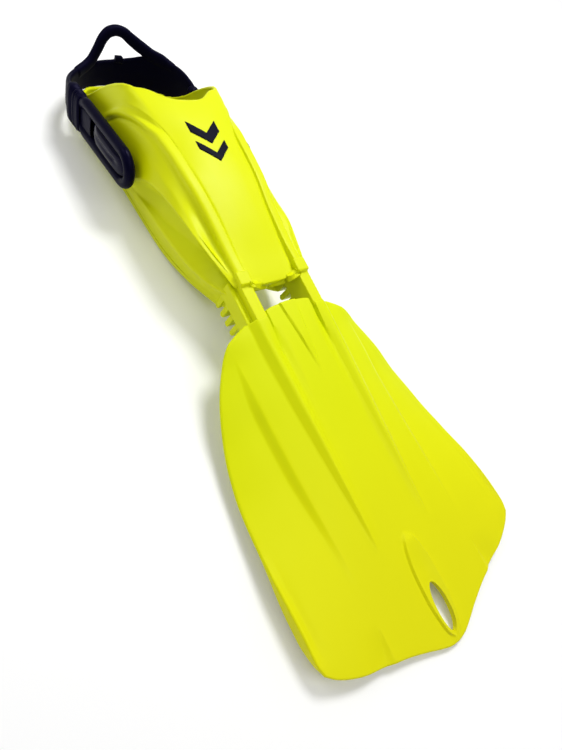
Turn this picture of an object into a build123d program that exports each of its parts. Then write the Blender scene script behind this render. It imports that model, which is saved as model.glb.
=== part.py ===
"""Open-heel swim fin: foot pocket, two flexing arms, paddle blade and a bungee heel strap.

Frame: the origin is on the sole's resting face, +X runs from the heel to the blade's tip,
+Y runs across the foot and +Z points up out of the instep. Lengths are in millimetres.
"""
from build123d import *
import math
import os

os.makedirs("parts", exist_ok=True)

# --- overall layout
ROOT_X = 165.0              # where the blade starts
ROOT_Z = 47.0               # height of the blade's middle plane at its start
BLADE_TILT = 9.3            # the blade slopes down from the sole line
BLADE_LENGTH = 279.0
BLADE_SKIN = 3.2
ARM_GAP = 0.3               # between an arm's end and the blade

# --- foot pocket
WALL = 4.0
SOLE_THICK = 7.0
HEEL_X = -155.0
TOE_X = 134.0
POST_X = -35.0              # the strap's posts
POST_Z = 41.0
POST_R = 5.0
POST_CLEARANCE = 0.06

# --- strap
CORD_R = 4.5
LOOP_Y = 60.5               # middle plane of each bungee loop
LOOP_TILT = 7.5             # the loops slope down to the heel
LOOP_FRONT = 41.0           # outer ends, counted from the post
LOOP_REAR = -64.0
LOOP_HALF_HEIGHT = 13.5     # centre line of the cord
STRAP_THICK = 5.0
STRAP_R = 58.5
STRAP_X = -112.0
CUFF_LONG = 24.0
CUFF_HIGH = 36.0
CUFF_THICK = 13.0
CORD_PLAY = 0.3             # around the cord inside a cuff

# --- arms and trim
ARM_INNER = 24.0            # inner face of each arm from the middle plane
ARM_BAR = 10.5              # width of the top bar
ARM_WIDE = 16.0
ARM_TOP = 7.0
ARM_CHANNEL = -6.0
ARM_FLANGE = 0.0
ARM_LOW = -17.0
TEETH = 4
TOOTH_PITCH = 8.8
TOOTH_LONG = 16.0
TOOTH_WIDE = 5.0
HOLE_AT = 251.0
HOLE_LONG = 38.0
HOLE_WIDE = 11.0
FOOTBED_THICK = 2.5
MARK_THICK = 0.8


def root_plane(distance):
    """Plane across the blade, at a distance from its root; its x is +Y, its y is the blade's up."""
    tilt = math.radians(BLADE_TILT)
    along = Vector(math.cos(tilt), 0, -math.sin(tilt))
    start = Vector(ROOT_X, 0, ROOT_Z) + along * distance
    return Plane(origin=start, x_dir=(0, 1, 0), z_dir=along)


def blade_plane(height=0.0):
    """Plane of the blade itself; its x runs to the tip and its y is +Y."""
    tilt = math.radians(BLADE_TILT)
    up = Vector(math.sin(tilt), 0, math.cos(tilt))
    start = Vector(ROOT_X, 0, ROOT_Z) + up * height
    return Plane(origin=start, x_dir=(math.cos(tilt), 0, -math.sin(tilt)), z_dir=up)


def side_plane(y):
    """Plane along the fin at a given Y; its x is the blade's length and its y the blade's up."""
    tilt = math.radians(BLADE_TILT)
    along = (math.cos(tilt), 0, -math.sin(tilt))
    return Plane(origin=(ROOT_X, y, ROOT_Z), x_dir=along, z_dir=(0, -1, 0))


def mirrored(points):
    """Right half of an outline, from the middle outward, made into the whole one."""
    left = [(-y, z) for y, z in reversed(points) if y > 0]
    return left + points


# --- foot pocket: x, roof height, rail y and z, side y and z, ledge y and z, foot y
POCKET = [
    (-160, 92, 40, 74, 47, 40, 47, 22, 43),
    (-110, 92, 42, 76, 50, 44, 50, 22, 46),
    (-50, 91, 42, 79, 51, 50, 49, 22, 47),
    (0, 87, 38, 82, 51, 54, 48, 21, 47),
    (45, 79, 34, 77, 50, 59, 49, 22, 46),
    (80, 70, 31, 69, 49, 54, 48, 28, 44),
    (110, 61, 30, 62, 44, 49, 43, 35, 41),
    (134, 55, 29, 58, 38, 49, 38, 38, 37),
]
LIP = [(-30, 110), (-31, 92), (-36, 86), (-50, 79), (-66, 68), (-82, 54), (-98, 36),
       (-115, 24), (-140, 17), (-165, 15), (-165, 110)]


def sole_rise(x):
    """Height of the sole's underside above the floor: flat, then a toe spring."""
    if x < 40:
        return 0.0
    return 19.0 * ((x - 40) / (TOE_X - 40)) ** 1.6


def pocket_section(station, inset):
    """One section of the foot pocket; inset moves the outline inward for the cavity."""
    x, roof, rail_y, rail_z, side_y, side_z, ledge_y, ledge_z, foot_y = station
    low = sole_rise(x) + SOLE_THICK - 3 - inset
    dent = 2.2 * (side_z - ledge_z) / 30
    half = [
        (0, roof - inset),
        (rail_y * 0.6, (roof + rail_z) / 2 + 1 - inset),
        (rail_y - inset * 0.5, rail_z - inset),
        (side_y - inset, side_z),
        (ledge_y - inset - dent, (side_z + ledge_z) / 2 - 1),
        (ledge_y - inset, ledge_z),
        (foot_y - inset, low),
    ]
    points = mirrored(half)
    with BuildSketch(Plane.YZ.offset(x)) as section:
        with BuildLine():
            Spline(points)
            Line(points[-1], points[0])
        make_face()
    return section.sketch


with BuildPart() as roof_cutter:
    with BuildSketch(Plane.XZ.offset(-80)):
        with BuildLine():
            Spline(LIP[:-1])
            Polyline(LIP[-2], LIP[-1], LIP[0])
        make_face()
    extrude(amount=160)

sole_stations = [HEEL_X - 10, -60, 20, 40, 60, 80, 100, 120, TOE_X + 10]
with BuildPart() as sole_slab:
    with BuildSketch(Plane.XZ.offset(-80)):
        with BuildLine():
            Spline([(x, sole_rise(x)) for x in sole_stations[3:]])
            Line((sole_stations[0], 0), (sole_stations[3], 0))
            Spline([(x, sole_rise(x) + SOLE_THICK) for x in sole_stations[3:]])
            Line((sole_stations[0], SOLE_THICK), (sole_stations[3], SOLE_THICK))
            Line((sole_stations[0], 0), (sole_stations[0], SOLE_THICK))
            end = sole_stations[-1]
            Line((end, sole_rise(end)), (end, sole_rise(end) + SOLE_THICK))
        make_face()
    extrude(amount=160)

SOLE_HALF = [(HEEL_X, 0), (HEEL_X + 1, 22), (-142, 40), (-110, 45.5), (-60, 47), (0, 47),
             (45, 46), (80, 44), (110, 41), (TOE_X - 3, 36), (TOE_X, 30)]
with BuildPart() as foot_plate:
    with BuildSketch(Plane.XY):
        with BuildLine():
            Spline(SOLE_HALF)
            Spline([(x, -y) for x, y in SOLE_HALF])
            Line((TOE_X, -30), (TOE_X, 30))
        make_face()
    extrude(amount=60)
    add(sole_slab.part, mode=Mode.INTERSECT)

with BuildPart() as below_sole:
    with BuildSketch(Plane.XZ.offset(-80)):
        with BuildLine():
            Spline([(x, sole_rise(x) + SOLE_THICK) for x in sole_stations[3:]])
            Line((sole_stations[0], SOLE_THICK), (sole_stations[3], SOLE_THICK))
            Polyline((sole_stations[0], SOLE_THICK), (sole_stations[0], -40), (end, -40),
                     (end, sole_rise(end) + SOLE_THICK))
        make_face()
    extrude(amount=160)

def heel_outline(grow):
    """Plan of the foot pocket with its round heel; grow moves it outward."""
    rear = HEEL_X - 3 - grow
    half = [(rear, 0), (rear + 2, 20), (rear + 15, 38 + grow), (-115, 47.5 + grow),
            (-80, 51 + grow), (0, 53 + grow), (60, 53 + grow)]
    front = TOE_X + 20
    with BuildSketch(Plane.XY) as outline:
        with BuildLine():
            Spline([(x, -y) for x, y in reversed(half)] + half[1:])
            Polyline(half[-1], (front, 53 + grow), (front, -53 - grow), (60, -53 - grow))
        make_face()
    return outline.sketch


with BuildPart() as space_plan:
    add(heel_outline(-WALL))
    extrude(amount=120)

with BuildPart() as foot_plan:
    add(heel_outline(0))
    extrude(amount=120)

with BuildPart() as foot_space:
    for station in POCKET[:-1]:
        add(pocket_section(station, WALL))
    add(pocket_section((124, 58, 29, 58, 38, 46, 38, 38, 37), WALL))
    loft()
    add(space_plan.part, mode=Mode.INTERSECT)

with BuildPart() as foot_form:
    for station in POCKET:
        add(pocket_section(station, 0))
    loft()

with BuildPart() as foot_pocket:
    add(foot_form.part)
    add(foot_plan.part, mode=Mode.INTERSECT)
    add(foot_space.part, mode=Mode.SUBTRACT)
    add(roof_cutter.part, mode=Mode.SUBTRACT)
    add(below_sole.part, mode=Mode.SUBTRACT)
    with Locations(Location((POST_X, 50, POST_Z), (90, 0, 0))):
        Cylinder(POST_R + POST_CLEARANCE, 20, mode=Mode.SUBTRACT)
    with Locations(Location((POST_X, -50, POST_Z), (90, 0, 0))):
        Cylinder(POST_R + POST_CLEARANCE, 20, mode=Mode.SUBTRACT)

FOOTBED_HALF = [(-149, 0), (-148, 15), (-138, 32), (-110, 39), (-60, 41), (0, 41),
                (45, 40), (80, 38), (105, 32), (114, 20), (117, 0)]
with BuildPart() as footbed:
    with BuildSketch(Plane.XY):
        with BuildLine():
            Spline([(x, -y) for x, y in reversed(FOOTBED_HALF)] + FOOTBED_HALF[1:-1],
                   periodic=True)
        make_face()
    extrude(amount=60)
    add(sole_slab.part.moved(Location((0, 0, FOOTBED_THICK))), mode=Mode.INTERSECT)
    add(sole_slab.part, mode=Mode.SUBTRACT)

with BuildPart() as instep_mark:
    with BuildSketch(Plane.XY.offset(50)):
        for start in (-8, 10):
            with BuildLine():
                Polyline((start, -14), (start + 14, 0), (start, 14), (start + 9, 14),
                         (start + 23, 0), (start + 9, -14), close=True)
            make_face()
        with Locations((14, 0)):
            Rectangle(20, 4)
    extrude(amount=60)
    add(foot_form.part.moved(Location((0, 0, MARK_THICK))), mode=Mode.INTERSECT)
    add(foot_form.part, mode=Mode.SUBTRACT)


def arm_profile(low, high):
    """Side view of one level of an arm."""
    with Locations((-25, (high + low) / 2)):
        Rectangle(50 - 2 * ARM_GAP, high - low)


# --- arms: a bar on top, a channel along the outer side and rounded stops underneath
with BuildPart() as toe_block:
    with Locations((TOE_X - 50, 0, 50)):
        Box(100, 200, 200)

arms = {}
for name, side in (("left_arm", -1), ("right_arm", 1)):
    outward = -side
    with BuildPart() as arm:
        with BuildSketch(side_plane(side * ARM_INNER)):
            arm_profile(ARM_LOW, ARM_TOP)
        extrude(amount=outward * ARM_BAR)
        with BuildSketch(side_plane(side * ARM_INNER)):
            arm_profile(ARM_LOW, ARM_CHANNEL)
        extrude(amount=outward * ARM_WIDE)
        with BuildSketch(side_plane(side * (ARM_INNER + ARM_WIDE - 3.5))):
            arm_profile(ARM_LOW, ARM_FLANGE)
        extrude(amount=outward * 3.5)
        with BuildSketch(side_plane(side * (ARM_INNER + 1))):
            for tooth in range(TEETH):
                with Locations((-6.5 - tooth * TOOTH_PITCH, ARM_LOW - TOOTH_LONG / 2 + 1.5)):
                    SlotOverall(TOOTH_LONG + 3, TOOTH_WIDE, rotation=90)
        extrude(amount=outward * (ARM_WIDE - 2))
        add(toe_block.part, mode=Mode.SUBTRACT)
    arms[name] = arm.part

# --- blade: distance from the root, half width, height of the side edge
BLADE = [(-10, 66, -8), (8, 68, -8), (26, 79, -15), (52, 91, -18.5), (80, 100, -22.5),
         (110, 108, -21), (143, 113, -14), (175, 116, -5), (205, 117, 1), (235, 118, 4),
         (287, 118, 4)]
BLADE_HALF = [(0, 41), (3, 50), (8, 60), (26, 73), (52, 86), (75, 93.5), (94, 99), (118, 104),
              (143, 107.5), (175, 110.5), (203, 111.5), (222, 112.5), (231, 110), (238, 102),
              (249, 83), (261, 48), (269, 29), (275, 16), (279, 0)]


def blade_section(station):
    """Thin section of the blade: level in the middle, its sides bent to the edge's height."""
    distance, half, edge = station
    upper = []
    for step in range(-8, 9):
        y = half * step / 8
        bend = max(0.0, (abs(y) - 30) / (half - 30))
        upper.append((y, edge * (0.45 * bend + 0.55 * bend ** 2) + BLADE_SKIN / 2))
    lower = [(y, z - BLADE_SKIN) for y, z in reversed(upper)]
    with BuildSketch(root_plane(distance)) as section:
        with BuildLine():
            Spline(upper)
            Line(upper[-1], lower[0])
            Spline(lower)
            Line(lower[-1], upper[0])
        make_face()
    return section.sketch


def rail_section(distance, middle, width, low, high):
    """Section of a rail: a bar that narrows towards its top."""
    with BuildSketch(root_plane(distance)) as section:
        with BuildLine():
            Polyline((middle - width / 2, low), (middle - width * 0.4, high),
                     (middle + width * 0.4, high), (middle + width / 2, low), close=True)
        make_face()
    return section.sketch


rails = []
for side in (-1, 1):
    with BuildPart() as rail:
        add(rail_section(-2, side * 32, 16, -17, 6.5))
        add(rail_section(60, side * 31.5, 12, -7, 5))
        add(rail_section(193, side * 29, 3, -1, 1.9))
        loft(ruled=True)
    rails.append(rail.part)
    with BuildPart() as winglet:
        with BuildSketch(side_plane(side * 108.5)):
            with BuildLine():
                Polyline((160, -9), (185, -3), (205, 0), (224, 2), (224, -4), (205, -8),
                         (185, -12), (160, -12), close=True)
            make_face()
        extrude(amount=-side * 5)
    rails.append(winglet.part)

with BuildPart() as blade_plan:
    with BuildSketch(blade_plane(-60)):
        with BuildLine():
            tip = BLADE_HALF + [(x, -y) for x, y in reversed(BLADE_HALF[:-1])]
            Spline(tip)
            Line((0, -41), (0, 1 - ARM_INNER))
            Spline((0, 1 - ARM_INNER), (-8, 0), (0, ARM_INNER - 1))
            Line((0, ARM_INNER - 1), (0, 41))
        make_face()
    extrude(amount=120)

with BuildPart() as blade:
    for station in BLADE:
        add(blade_section(station))
    loft()
    for rail in rails:
        add(rail)
    add(blade_plan.part, mode=Mode.INTERSECT)
    with BuildSketch(blade_plane(-20)):
        with Locations((HOLE_AT, 0)):
            Ellipse(HOLE_LONG / 2, HOLE_WIDE / 2)
    extrude(amount=40, mode=Mode.SUBTRACT)

# --- heel strap with its finger loop
with BuildPart() as band_side:
    with BuildSketch(Plane.XZ.offset(-80)):
        with BuildLine():
            Spline((STRAP_X + 15, 18), (STRAP_X, 16), (-145, 9), (-185, 6))
            Line((-185, 6), (-185, 31))
            Spline((-185, 31), (-145, 37), (STRAP_X, 46), (STRAP_X + 15, 48))
            Line((STRAP_X + 15, 48), (STRAP_X + 15, 18))
        make_face()
    extrude(amount=160)

with BuildPart() as finger_form:
    with BuildSketch(Plane.YZ.offset(-190)):
        with Locations((0, 56)):
            Circle(11)
        with Locations((-38, 31), (38, 31)):
            Circle(4)
        make_hull()
    extrude(amount=60)

with BuildPart() as finger_hole:
    with BuildSketch(Plane.YZ.offset(-190)):
        with Locations((0, 52)):
            Circle(5)
        with Locations((-20, 38), (20, 38)):
            Circle(3)
        make_hull()
    extrude(amount=60)


def loop_plane(y):
    """Plane of a bungee loop through its post; its x runs forward along the loop."""
    tilt = math.radians(LOOP_TILT)
    along = (math.cos(tilt), 0, math.sin(tilt))
    return Plane(origin=(POST_X, y, POST_Z), x_dir=along, z_dir=(0, -1, 0))


def cord_loop(y, radius):
    """Closed racetrack of cord around the post and through the cuff."""
    front = LOOP_FRONT - CORD_R - LOOP_HALF_HEIGHT
    rear = LOOP_REAR + CORD_R + LOOP_HALF_HEIGHT
    high = LOOP_HALF_HEIGHT
    with BuildPart() as loop:
        with BuildLine(loop_plane(y)) as route:
            Line((rear, high), (front, high))
            ThreePointArc((front, high), (front + high, 0), (front, -high))
            Line((front, -high), (rear, -high))
            ThreePointArc((rear, -high), (rear - high, 0), (rear, high))
        start = route.line @ 0
        with BuildSketch(Plane(origin=start, z_dir=route.line % 0)):
            Circle(radius)
        sweep()
    return loop.part


side_pieces = {}
for name, side in (("left", -1), ("right", 1)):
    middle = side * LOOP_Y
    side_pieces[name + "_bungee"] = cord_loop(middle, CORD_R)
    hollow = cord_loop(middle, CORD_R + CORD_PLAY)
    with BuildPart() as cuff:
        with BuildSketch(loop_plane(middle + CUFF_THICK / 2)):
            with Locations((LOOP_REAR, 0)):
                RectangleRounded(CUFF_LONG, CUFF_HIGH, 5)
        extrude(amount=CUFF_THICK)
        add(hollow, mode=Mode.SUBTRACT)
        with BuildSketch(loop_plane(side * (LOOP_Y + CUFF_THICK / 2))):
            for rib in range(4):
                with Locations((LOOP_REAR - 8 + rib * 4, 0)):
                    SlotOverall(CUFF_HIGH - 10, 1.8, rotation=90)
        extrude(amount=-side * 0.9)
    side_pieces[name + "_cuff"] = cuff.part
    with BuildPart() as button:
        with BuildSketch(loop_plane(side * 52.5)):
            SlotOverall(62, 17)
        extrude(amount=-side * 11)
        with BuildSketch(loop_plane(side * 63.5)):
            SlotOverall(62, 17)
        extrude(amount=-side * 3, taper=45)
        with BuildSketch(loop_plane(side * 52.5)):
            Circle(POST_R)
        extrude(amount=side * 13.5)
    side_pieces[name + "_button"] = button.part
    with BuildPart() as retainer:
        with BuildSketch(loop_plane(side * 39)):
            Circle(9)
            Circle(POST_R, mode=Mode.SUBTRACT)
        extrude(amount=-side * 2.5)
    side_pieces[name + "_retainer"] = retainer.part

with BuildPart() as heel_strap:
    with BuildSketch(Plane.XY):
        with Locations((STRAP_X, 0)):
            Circle(STRAP_R + STRAP_THICK)
            Circle(STRAP_R, mode=Mode.SUBTRACT)
        with Locations((STRAP_X + 100, 0)):
            Rectangle(200, 200, mode=Mode.SUBTRACT)
        for side in (-1, 1):
            with Locations((STRAP_X + 4, side * (STRAP_R + STRAP_THICK / 2))):
                Rectangle(9, STRAP_THICK)
    extrude(amount=100)
    add(band_side.part + finger_form.part, mode=Mode.INTERSECT)
    add(finger_hole.part, mode=Mode.SUBTRACT)
    for side in (-1, 1):
        with BuildSketch(loop_plane(side * LOOP_Y + 10)):
            with Locations((LOOP_REAR + 30, 0)):
                Rectangle(CUFF_LONG + 60, 90)
        extrude(amount=20, mode=Mode.SUBTRACT)

pieces = {
    "foot_pocket": foot_pocket.part,
    "foot_plate": foot_plate.part,
    "footbed": footbed.part,
    "instep_mark": instep_mark.part,
    "left_arm": arms["left_arm"],
    "right_arm": arms["right_arm"],
    "blade": blade.part,
    "heel_strap": heel_strap.part,
}
pieces.update(side_pieces)
for name, piece in pieces.items():
    piece.label = name
    export_step(piece, "parts/" + name + ".step")
    box = piece.bounding_box()
    print(name, round(piece.volume), len(piece.solids()), piece.is_valid,
          [round(v, 1) for v in (*box.min, *box.max)])
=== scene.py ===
"""Looks of an open-heel swim fin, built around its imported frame.

Shapes are worked out in millimetres and stored in metres, in the frame's own axes.
"""
import math

import bpy
import numpy as np
from mathutils import Matrix, Vector


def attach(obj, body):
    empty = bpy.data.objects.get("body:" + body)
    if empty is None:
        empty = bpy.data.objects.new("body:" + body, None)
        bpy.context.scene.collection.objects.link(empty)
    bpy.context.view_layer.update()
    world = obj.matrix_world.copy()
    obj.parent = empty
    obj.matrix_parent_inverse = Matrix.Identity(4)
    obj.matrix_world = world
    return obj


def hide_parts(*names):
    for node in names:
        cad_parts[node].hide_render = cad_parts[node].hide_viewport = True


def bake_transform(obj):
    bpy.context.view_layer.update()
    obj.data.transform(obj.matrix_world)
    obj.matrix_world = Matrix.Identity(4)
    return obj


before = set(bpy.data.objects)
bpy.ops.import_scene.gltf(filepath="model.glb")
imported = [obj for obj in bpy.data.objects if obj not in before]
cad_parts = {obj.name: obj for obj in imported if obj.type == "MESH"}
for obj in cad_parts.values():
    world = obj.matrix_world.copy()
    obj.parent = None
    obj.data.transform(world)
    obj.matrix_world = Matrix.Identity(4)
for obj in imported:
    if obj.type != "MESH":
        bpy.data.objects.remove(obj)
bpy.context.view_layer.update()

bl_info = {
    "name": "Swim fin",
    "version": (1, 0, 0),
    "blender": (4, 5, 0),
    "location": "View3D > Sidebar > Swim fin",
    "description": "Builds the looks of an open-heel swim fin around its packed frame",
    "category": "Add Mesh",
}

MM = 0.001
SIDES = (("left", -1), ("right", 1))

# The blade's own frame: its root's middle and how far it slopes down.
ROOT_X = 165.0
ROOT_Z = 47.0
BLADE_TILT = math.radians(9.3)
SKIN_HALF = 1.6
BLADE_EDGE = 1.45
HOLE_X = 252.0
HOLE_HALF_LONG = 19.0

# Foot pocket and plate.
SOLE_THICK = 7.0
TOE_X = 134.0
HEEL_X = -158.0
PLATE_REAR = -155.5
TOE_ROUNDING = 2.2
TOE_LEAN = 0.55

# Posts and bungee loops: the loops' line rises towards the toe, by LOOP_TILT.
POST_X = -35.0
POST_Z = 41.0
LOOP_TILT = math.radians(7.5)
LOOP_Y = 60.5
LOOP_FRONT = 41.0
LOOP_REAR = -64.0
CORD_R = 4.5
CORD_DRAWN_R = 4.7
LOOP_HALF = 13.4
BUTTON_STRAIGHT = 21.4
BUTTON_R = 9.9
CUFF_START = -77.6
CUFF_LONG = 24.0

# Heel strap: the middle of its arc, its radius and how far it leans to the right at the back.
STRAP_X = -112.0
STRAP_R = 61.0
STRAP_LEAN = 5.0

# Blade outline: distance from the root, half width.
BLADE_HALF = [(-10, 41), (0, 41), (3, 50), (8, 60), (26, 73), (52, 86), (75, 93.5), (94, 99),
              (118, 104), (143, 107.5), (175, 110.5), (203, 111.5), (222, 112), (231, 110)]
# Leading and trailing edges: distance across, distance from the root.
LEADING = [(0, -8), (12, -7.4), (22, -5.6), (26, 0), (41, 0), (50, 3), (60, 8)]
TRAILING = [(0, 279), (8, 278), (16, 275), (29, 269), (48, 261), (66, 255), (83, 249), (96, 242.5),
            (104, 237), (110, 231)]
# Height of the side edge: distance, half width where it is read, height.
BLADE_DROP = [(-10, 66, -8), (8, 68, -8), (26, 79, -15), (52, 91, -18.5), (80, 100, -22.5),
              (110, 108, -21), (143, 113, -14), (175, 116, -5), (205, 117, 1), (235, 118, 4),
              (287, 118, 4)]

# Rails on the blade: distance from the root, then where their foot, top and outer side lie,
# and their height.
RAIL_IN = [(-10, 24), (0, 24), (60, 25), (130, 27), (193, 28.6), (290, 29)]
RAIL_TOP = [(-10, 34.5), (0, 35), (60, 33), (130, 30.5), (193, 29.2), (290, 29.6)]
RAIL_OUT = [(-10, 40.5), (0, 41), (15, 41), (60, 39.5), (130, 35), (193, 30.6), (290, 31)]
RAIL_HIGH = [(-10, 5.0), (0, 5.0), (60, 4.4), (130, 2.8), (180, 0.9), (196, 0), (290, 0)]
# Depth of the keels under the rails.
KEEL_LOW = [(-10, 15), (0, 15), (20, 11), (60, 5), (110, 1.5), (160, 0), (290, 0)]
# Outer creases: where they start, and how wide they are.
STEP_LINE = [(-10, 54), (8, 53.5), (20, 60.5), (60, 59.5), (120, 59), (212, 57.5), (290, 57.5)]
STEP_WIDE = [(-10, 2), (20, 2), (60, 7), (110, 7.5), (160, 6), (212, 4), (229, 2.6), (262, 8),
             (290, 8)]
# Half width of the boss round the hanging hole.
BOSS_HALF = [(188, 0.3), (193, 0.8), (197, 3.6), (205, 6.8), (222, 9.8), (240, 10.4), (257, 8.8),
             (269, 6), (275, 1.2), (290, 0.3)]

# Foot pocket: x, roof z, rail y and z, side y and z, ledge y and z, foot y.
POCKET = [
    (-160, 92, 50, 30, 50, 22, 48, 14, 45),
    (-110, 92, 50, 36, 51, 24, 50, 15, 46),
    (-75, 92, 50, 43, 51.5, 25, 50, 16, 47),
    (-66, 92, 50, 51, 51.5, 26, 50, 16, 47),
    (-50, 91.5, 49.5, 66, 51.5, 27, 49.5, 17, 47),
    (-30, 90.5, 45.5, 76.5, 51.5, 28, 49, 17, 47),
    (-12, 89, 40.5, 81, 51.5, 32, 48.5, 18, 47),
    (0, 87.5, 37.5, 83, 51, 40, 48.5, 20, 47),
    (12, 86, 36, 82.5, 51, 48, 48.5, 22, 47),
    (45, 80, 33.5, 79, 50.5, 57, 49, 25, 46),
    (80, 71, 30.3, 71, 49, 59.5, 48.5, 29, 44),
    (110, 61.5, 29.5, 64.3, 43.5, 56.5, 45.5, 35.5, 41),
    (134, 54, 29.4, 60.6, 38, 53, 40, 44, 36),
]
# Where the roof turns down: x, y, z.
SHOULDER = [(-160, 47, 84), (-90, 47.5, 84), (-60, 46, 86.5), (-45, 43.5, 87), (-25, 38, 86),
            (0, 31.2, 82.6), (45, 27.2, 77.6), (80, 24, 69.4), (110, 23.3, 61.2), (134, 23.3, 55)]
# Side view of the foot opening's lip.
LIP = [(-158, 15), (-140, 18), (-118, 30), (-98, 48), (-88, 60), (-75, 72), (-60, 82), (-50, 87),
       (-44, 90), (-36, 90.2), (-29, 90.6), (-26, 96)]
# Plan of the heel's rounding: x, share of the full width.
HEEL = [(-158, 0), (-157.4, 0.25), (-155.5, 0.45), (-151, 0.65), (-143, 0.82), (-130, 0.94),
        (-112, 1), (-60, 1), (140, 1)]

# Foot plate: x, half width.
PLATE_HALF = [(-155.5, 3), (-154.5, 14), (-151, 26), (-143, 35.5), (-128, 41.5), (-108, 45.5),
              (-60, 47), (20, 46.8), (60, 45.6), (90, 42.5), (112, 38.5), (130, 35)]


# --- shapes

def smooth(x, stations, column=1):
    """Reads a table smoothly at x; it never swings past its own stations."""
    table = np.array(stations, float)
    places, values = table[:, 0], table[:, column]
    steps = np.diff(places)
    rises = np.diff(values) / steps
    slopes = np.zeros(len(places))
    both = rises[:-1] * rises[1:] > 0
    weights = 2 * steps[1:] + steps[:-1], steps[1:] + 2 * steps[:-1]
    with np.errstate(divide="ignore", invalid="ignore"):
        middle = sum(weights) / (weights[0] / rises[:-1] + weights[1] / rises[1:])
    slopes[1:-1] = np.where(both, middle, 0)
    slopes[0], slopes[-1] = rises[0], rises[-1]
    x = np.clip(np.asarray(x, float), places[0], places[-1])
    i = np.clip(np.searchsorted(places, x) - 1, 0, len(places) - 2)
    t = (x - places[i]) / steps[i]
    start = values[i] + slopes[i] * steps[i] * t
    swing = 3 * (values[i + 1] - values[i]) - (2 * slopes[i] + slopes[i + 1]) * steps[i]
    turn = 2 * (values[i] - values[i + 1]) + (slopes[i] + slopes[i + 1]) * steps[i]
    return start + swing * t ** 2 + turn * t ** 3


def fade(x, low, high):
    """0 below low, 1 above high, with a smooth turn between."""
    t = np.clip((np.asarray(x, float) - low) / (high - low), 0, 1)
    return t * t * (3 - 2 * t)


def blade_place(x, y, z):
    """Turns blade coordinates into the fin's own, all in millimetres."""
    along = ROOT_X + x * math.cos(BLADE_TILT) + z * math.sin(BLADE_TILT)
    up = ROOT_Z - x * math.sin(BLADE_TILT) + z * math.cos(BLADE_TILT)
    return np.stack([along, y + 0 * x, up], -1)


def sole_rise(x):
    """Height of the sole's underside: flat, then a toe spring."""
    return 19.0 * (np.clip(np.asarray(x, float) - 40, 0, None) / (TOE_X - 40)) ** 1.6


def edge_roll(distance, radius):
    """How far a rounded edge drops at a distance inside the outline."""
    t = np.clip(1 - distance / radius, 0, 1)
    return radius * (1 - np.sqrt(1 - t ** 2))


def blade_bend(x, y):
    """Middle of the blade's skin: level inside the rails, turned down towards its sides."""
    half, drop = smooth(x, BLADE_DROP, 1), smooth(x, BLADE_DROP, 2)
    out = np.clip(np.abs(y) - 30, 0, None) / (half - 30)
    return drop * (0.45 * out + 0.55 * out ** 2)


def step_depth(x):
    """Depth of the outer crease, and of the notch that meets the trailing edge."""
    crease = 3.4 * fade(x, 16, 75) * (1 - fade(x, 110, 214))
    return crease + 1.8 * fade(x, 226, 252)


def hole_boss(x, y):
    """Height of the drop-shaped boss round the hanging hole, a little dished inside."""
    half = smooth(x, BOSS_HALF)
    height = 1.8 * fade(x, 191, 200) * (1 - fade(x, 266, 278))
    wall = np.clip((half + 1.5 - np.abs(y)) / 1.5, 0, 1)
    dish = 0.7 * fade(x, 197, 222) * np.clip(1 - (np.abs(y) / half) ** 2, 0, 1)
    return height * (wall - dish)


def blade_top(x, y):
    """Height of the blade's upper face."""
    side = np.abs(y)
    z = blade_bend(x, y) + SKIN_HALF
    inner, top = smooth(x, RAIL_IN), smooth(x, RAIL_TOP)
    outer, high = smooth(x, RAIL_OUT), smooth(x, RAIL_HIGH)
    soft = fade(x, -2, 40)
    rise = (1 - soft) * np.clip((side - inner) / 1.0, 0, 1) + soft * fade(side, inner - 4, top)
    z = z + high * np.minimum(rise, np.clip((outer - side) / (outer - top), 0, 1))
    panel = (1 - soft) * np.clip((inner - side) / 1.2, 0, 1) + soft * fade(inner - side, 0, 7)
    z = z + 3.2 * (1 - fade(x, 4, 120)) * panel
    crest, width = smooth(x, STEP_LINE), smooth(x, STEP_WIDE)
    depth, half = step_depth(x), smooth(x, BLADE_HALF)
    fall = fade(side, crest, crest + width)
    back = 1 - np.clip((side - crest - width) / np.maximum(half - crest - width, 1), 0, 1)
    z = z - depth * fall * np.where(x > 226, 1 - fade(side, crest + width + 2, crest + width + 22),
                                    back)
    z = z + 0.15 * np.minimum(depth, 1) * np.exp(-((side - crest) / 1.6) ** 2)
    wedge = np.clip((9 * (1 - (x + 8) / 70) - side) / 1.2, 0, 1)
    z = z + 1.9 * wedge * (1 - fade(x, 20, 62))
    bead = fade(x, 145, 195) * (1 - fade(x, 205, 230))
    z = z + bead * (0.9 * fade(side, half - 2.8, half - 1.4) - 0.9 * np.exp(
        -((side - half + 6.5) / 2.6) ** 2))
    return z + hole_boss(x, y)


def blade_under(x, y):
    """Height of the blade's lower face, with the keels under its rails and its side walls."""
    side = np.abs(y)
    z = blade_bend(x, y) - SKIN_HALF
    inner, outer = smooth(x, RAIL_IN), smooth(x, RAIL_OUT)
    keel = np.clip((side - inner) / 1.0, 0, 1) * np.clip((outer - side) / 1.5, 0, 1)
    z = z - smooth(x, KEEL_LOW) * keel
    crest, width = smooth(x, STEP_LINE), smooth(x, STEP_WIDE)
    half = smooth(x, BLADE_HALF)
    back = 1 - np.clip((side - crest - width) / np.maximum(half - crest - width, 1), 0, 1)
    z = z - 0.8 * step_depth(x) * fade(side, crest, crest + width) * back * (x < 226)
    wall = fade(x, 148, 200) * (1 - fade(x, 208, 234))
    return z - 8.5 * wall * fade(side, half - 4.0, half - 3.0)


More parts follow.
